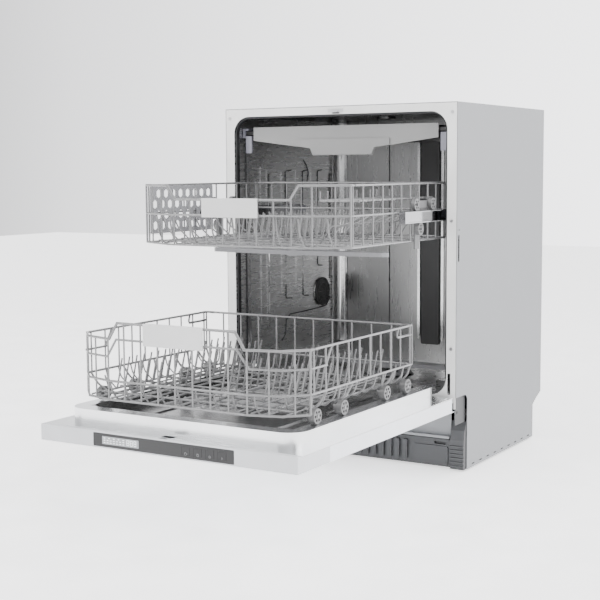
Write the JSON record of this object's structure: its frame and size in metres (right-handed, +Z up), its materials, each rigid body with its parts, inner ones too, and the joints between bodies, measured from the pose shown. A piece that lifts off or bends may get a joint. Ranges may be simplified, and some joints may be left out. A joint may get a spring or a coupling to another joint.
{
  "type": "built-in dishwasher",
  "caption": "Built-in dishwasher with its door open flat and both wire racks drawn out on rails and wheels, with a cutlery tray above.",
  "frame": {"origin": "on the floor, under the middle of the outline with the door open flat", "axes": "+Z up, -Y out of the front of the machine, +X to the right when facing the open machine"},
  "size_m": [0.598, 1.179, 0.815],
  "materials": {
    "white_sheet": "smooth white enamel",
    "side_sheet": "matte grey coated steel",
    "tub_steel": "bright rolled stainless",
    "liner_steel": "polished stainless",
    "fascia_grey": "silver grey satin",
    "dark_plastic": "textured dark grey",
    "black_rubber": "matte",
    "window_black": "gloss black",
    "key_black": "satin black",
    "grey_plastic": "light grey moulded",
    "mid_plastic": "mid grey moulded",
    "handle_plastic": "light grey satin",
    "rack_wire": "grey polyamide coated wire",
    "rail_steel": "bright roll-formed steel",
    "ballast": "cast concrete",
    "zinc": "bright plated"
  },
  "bodies": {
    "cabinet": {"base_tray": "dark_plastic", "plinth_grille": "dark_plastic", "base_cover_sheet": "side_sheet", "side_panel_left": "side_sheet", "side_panel_right": "side_sheet", "top_and_rear_sheets": "side_sheet", "front_frame": "white_sheet", "tub_wall_left": "tub_steel", "tub_wall_right": "tub_steel", "tub_ceiling": "tub_steel", "tub_back": "tub_steel", "tub_floor": "tub_steel", "door_gasket": "black_rubber", "pump_set": "dark_plastic", "ballast_block": "ballast", "inlet_fittings": "grey_plastic", "levelling_feet": "zinc", "hinge_brackets": "dark_plastic", "frame_fittings": "zinc", "wall_rails": "grey_plastic"},
    "filter": {"filter_cup": "mid_plastic"},
    "softener_cap": {"salt_cap": "grey_plastic"},
    "lower_arm": {"lower_spray_arm": "mid_plastic"},
    "door": {"door_outer_panel": "fascia_grey", "door_liner": "liner_steel", "control_fascia": "fascia_grey", "display_window": "window_black", "dispenser_body": "grey_plastic", "hinge_arms": "zinc"},
    "dispenser_flap": {"dispenser_lid": "grey_plastic"},
    "upper_rack": {"upper_basket": "rack_wire", "upper_handle": "handle_plastic", "upper_rack_fittings": "grey_plastic"},
    "left_cup_shelf": {"cup_shelf_left": "mid_plastic"},
    "right_cup_shelf": {"cup_shelf_right": "rack_wire"},
    "upper_arm": {"upper_spray_arm": "mid_plastic"},
    "left_rail": {"rail_left": "rail_steel"},
    "right_rail": {"rail_right": "rail_steel"},
    "lower_rack": {"lower_basket": "rack_wire", "lower_handle": "handle_plastic"},
    "folding_tines": {"tine_row_folding": "rack_wire"},
    "tray": {"cutlery_tray": "grey_plastic"},
    "key_1": {"touch_key_1": "key_black"},
    "key_2": {"touch_key_2": "key_black"},
    "key_3": {"touch_key_3": "key_black"},
    "key_4": {"touch_key_4": "key_black"},
    "roller_left_1_body": {"roller_left_1": "grey_plastic"},
    "roller_left_2_body": {"roller_left_2": "grey_plastic"},
    "roller_left_3_body": {"roller_left_3": "grey_plastic"},
    "roller_right_1_body": {"roller_right_1": "grey_plastic"},
    "roller_right_2_body": {"roller_right_2": "grey_plastic"},
    "roller_right_3_body": {"roller_right_3": "grey_plastic"},
    "wheel_left_1_body": {"wheel_left_1": "grey_plastic"},
    "wheel_left_2_body": {"wheel_left_2": "grey_plastic"},
    "wheel_left_3_body": {"wheel_left_3": "grey_plastic"},
    "wheel_left_4_body": {"wheel_left_4": "grey_plastic"},
    "wheel_right_1_body": {"wheel_right_1": "grey_plastic"},
    "wheel_right_2_body": {"wheel_right_2": "grey_plastic"},
    "wheel_right_3_body": {"wheel_right_3": "grey_plastic"},
    "wheel_right_4_body": {"wheel_right_4": "grey_plastic"}
  },
  "joints": [
    {"name": "basket_lower_slide", "type": "slide", "parent": "door", "child": "lower_rack", "axis": [0, -1, 0], "range_m": [-0.626, 0]},
    {"name": "basket_upper_slide", "type": "slide", "parent": "cabinet", "child": "upper_rack", "axis": [0, -1, 0], "range_m": [-0.433, 0]},
    {"name": "cutlery_tray_slide", "type": "slide", "parent": "cabinet", "child": "tray", "axis": [0, -1, 0], "range_m": [0, 0.4]},
    {"name": "cup_shelf_left_fold", "type": "hinge", "parent": "upper_rack", "child": "left_cup_shelf", "pos_m": [-0.2395, 0.0695, 0.5415], "axis": [0, 1, 0], "range_deg": [0, 88]},
    {"name": "cup_shelf_right_fold", "type": "hinge", "parent": "upper_rack", "child": "right_cup_shelf", "pos_m": [0.239, 0.0695, 0.6115], "axis": [0, 1, 0], "range_deg": [0, 75]},
    {"name": "door_hinge", "type": "hinge", "parent": "cabinet", "child": "door", "pos_m": [0, 0.055, 0.165], "axis": [-1, 0, 0], "range_deg": [0, 16]},
    {"name": "dispenser_lid_slide", "type": "slide", "parent": "door", "child": "dispenser_flap", "axis": [-1, 0, 0], "range_m": [0, 0.057]},
    {"name": "fold_tine_row", "type": "hinge", "parent": "lower_rack", "child": "folding_tines", "pos_m": [0.05, 0.0695, 0.24], "axis": [0, 1, 0], "range_deg": [0, 68]},
    {"name": "spray_arm_lower_turn", "type": "hinge", "parent": "cabinet", "child": "lower_arm", "pos_m": [0, 0.3345, 0.195], "axis": [0, 0, 1], "continuous": true},
    {"name": "spray_arm_upper_turn", "type": "hinge", "parent": "upper_rack", "child": "upper_arm", "pos_m": [0, -0.0955, 0.495], "axis": [0, 0, 1], "continuous": true},
    {"name": "turn_filter_cup", "type": "hinge", "parent": "cabinet", "child": "filter", "pos_m": [0, 0.3345, 0.17], "axis": [0, 0, 1], "range_deg": [0, 45]},
    {"name": "turn_salt_cap", "type": "hinge", "parent": "cabinet", "child": "softener_cap", "pos_m": [-0.165, 0.3695, 0.17], "axis": [0, 0, 1], "range_deg": [0, 90]},
    {"name": "press_key_1", "type": "slide", "parent": "door", "child": "key_1", "axis": [0, 1, 0], "range_m": [0, 0.002], "stiffness_N_per_m": 300},
    {"name": "press_key_2", "type": "slide", "parent": "door", "child": "key_2", "axis": [0, 1, 0], "range_m": [0, 0.002], "stiffness_N_per_m": 300},
    {"name": "press_key_3", "type": "slide", "parent": "door", "child": "key_3", "axis": [0, 1, 0], "range_m": [0, 0.002], "stiffness_N_per_m": 300},
    {"name": "press_key_4", "type": "slide", "parent": "door", "child": "key_4", "axis": [0, 1, 0], "range_m": [0, 0.002], "stiffness_N_per_m": 300},
    {"name": "telescopic_rail_left", "type": "slide", "parent": "cabinet", "child": "left_rail", "axis": [0, -1, 0], "range_m": [-0.2165, 0]},
    {"name": "telescopic_rail_right", "type": "slide", "parent": "cabinet", "child": "right_rail", "axis": [0, -1, 0], "range_m": [-0.2165, 0]},
    {"name": "turn_roller_left_1", "type": "hinge", "parent": "upper_rack", "child": "roller_left_1_body", "pos_m": [-0.257, -0.0465, 0.5985], "axis": [1, 0, 0], "continuous": true},
    {"name": "turn_roller_left_2", "type": "hinge", "parent": "upper_rack", "child": "roller_left_2_body", "pos_m": [-0.257, 0.0325, 0.5985], "axis": [1, 0, 0], "continuous": true},
    {"name": "turn_roller_left_3", "type": "hinge", "parent": "upper_rack", "child": "roller_left_3_body", "pos_m": [-0.257, -0.0285, 0.5475], "axis": [1, 0, 0], "continuous": true},
    {"name": "turn_wheel_left_1", "type": "hinge", "parent": "lower_rack", "child": "wheel_left_1_body", "pos_m": [-0.2512, -0.4525, 0.2215], "axis": [1, 0, 0], "continuous": true},
    {"name": "turn_wheel_left_2", "type": "hinge", "parent": "lower_rack", "child": "wheel_left_2_body", "pos_m": [-0.2512, -0.3505, 0.2215], "axis": [1, 0, 0], "continuous": true},
    {"name": "turn_wheel_left_3", "type": "hinge", "parent": "lower_rack", "child": "wheel_left_3_body", "pos_m": [-0.2512, -0.1735, 0.2215], "axis": [1, 0, 0], "continuous": true},
    {"name": "turn_wheel_left_4", "type": "hinge", "parent": "lower_rack", "child": "wheel_left_4_body", "pos_m": [-0.2512, -0.0805, 0.2215], "axis": [1, 0, 0], "continuous": true},
    {"name": "turn_roller_right_1", "type": "hinge", "parent": "upper_rack", "child": "roller_right_1_body", "pos_m": [0.257, -0.0465, 0.5985], "axis": [1, 0, 0], "continuous": true},
    {"name": "turn_roller_right_2", "type": "hinge", "parent": "upper_rack", "child": "roller_right_2_body", "pos_m": [0.257, 0.0325, 0.5985], "axis": [1, 0, 0], "continuous": true},
    {"name": "turn_roller_right_3", "type": "hinge", "parent": "upper_rack", "child": "roller_right_3_body", "pos_m": [0.257, -0.0285, 0.5475], "axis": [1, 0, 0], "continuous": true},
    {"name": "turn_wheel_right_1", "type": "hinge", "parent": "lower_rack", "child": "wheel_right_1_body", "pos_m": [0.2512, -0.4525, 0.2215], "axis": [1, 0, 0], "continuous": true},
    {"name": "turn_wheel_right_2", "type": "hinge", "parent": "lower_rack", "child": "wheel_right_2_body", "pos_m": [0.2512, -0.3505, 0.2215], "axis": [1, 0, 0], "continuous": true},
    {"name": "turn_wheel_right_3", "type": "hinge", "parent": "lower_rack", "child": "wheel_right_3_body", "pos_m": [0.2512, -0.1735, 0.2215], "axis": [1, 0, 0], "continuous": true},
    {"name": "turn_wheel_right_4", "type": "hinge", "parent": "lower_rack", "child": "wheel_right_4_body", "pos_m": [0.2512, -0.0805, 0.2215], "axis": [1, 0, 0], "continuous": true}
  ],
  "couplings": [
    {"joint": "telescopic_rail_left", "follows": "basket_upper_slide", "ratio": 0.5},
    {"joint": "telescopic_rail_right", "follows": "basket_upper_slide", "ratio": 0.5},
    {"joint": "turn_roller_left_1", "follows": "basket_upper_slide", "rad_per_m": 38.462},
    {"joint": "turn_roller_left_2", "follows": "basket_upper_slide", "rad_per_m": 38.462},
    {"joint": "turn_roller_left_3", "follows": "basket_upper_slide", "rad_per_m": -38.462},
    {"joint": "turn_wheel_left_1", "follows": "basket_lower_slide", "rad_per_m": 68.966},
    {"joint": "turn_wheel_left_2", "follows": "basket_lower_slide", "rad_per_m": 68.966},
    {"joint": "turn_wheel_left_3", "follows": "basket_lower_slide", "rad_per_m": 68.966},
    {"joint": "turn_wheel_left_4", "follows": "basket_lower_slide", "rad_per_m": 68.966},
    {"joint": "turn_roller_right_1", "follows": "basket_upper_slide", "rad_per_m": 38.462},
    {"joint": "turn_roller_right_2", "follows": "basket_upper_slide", "rad_per_m": 38.462},
    {"joint": "turn_roller_right_3", "follows": "basket_upper_slide", "rad_per_m": -38.462},
    {"joint": "turn_wheel_right_1", "follows": "basket_lower_slide", "rad_per_m": 68.966},
    {"joint": "turn_wheel_right_2", "follows": "basket_lower_slide", "rad_per_m": 68.966},
    {"joint": "turn_wheel_right_3", "follows": "basket_lower_slide", "rad_per_m": 68.966},
    {"joint": "turn_wheel_right_4", "follows": "basket_lower_slide", "rad_per_m": 68.966}
  ]
}
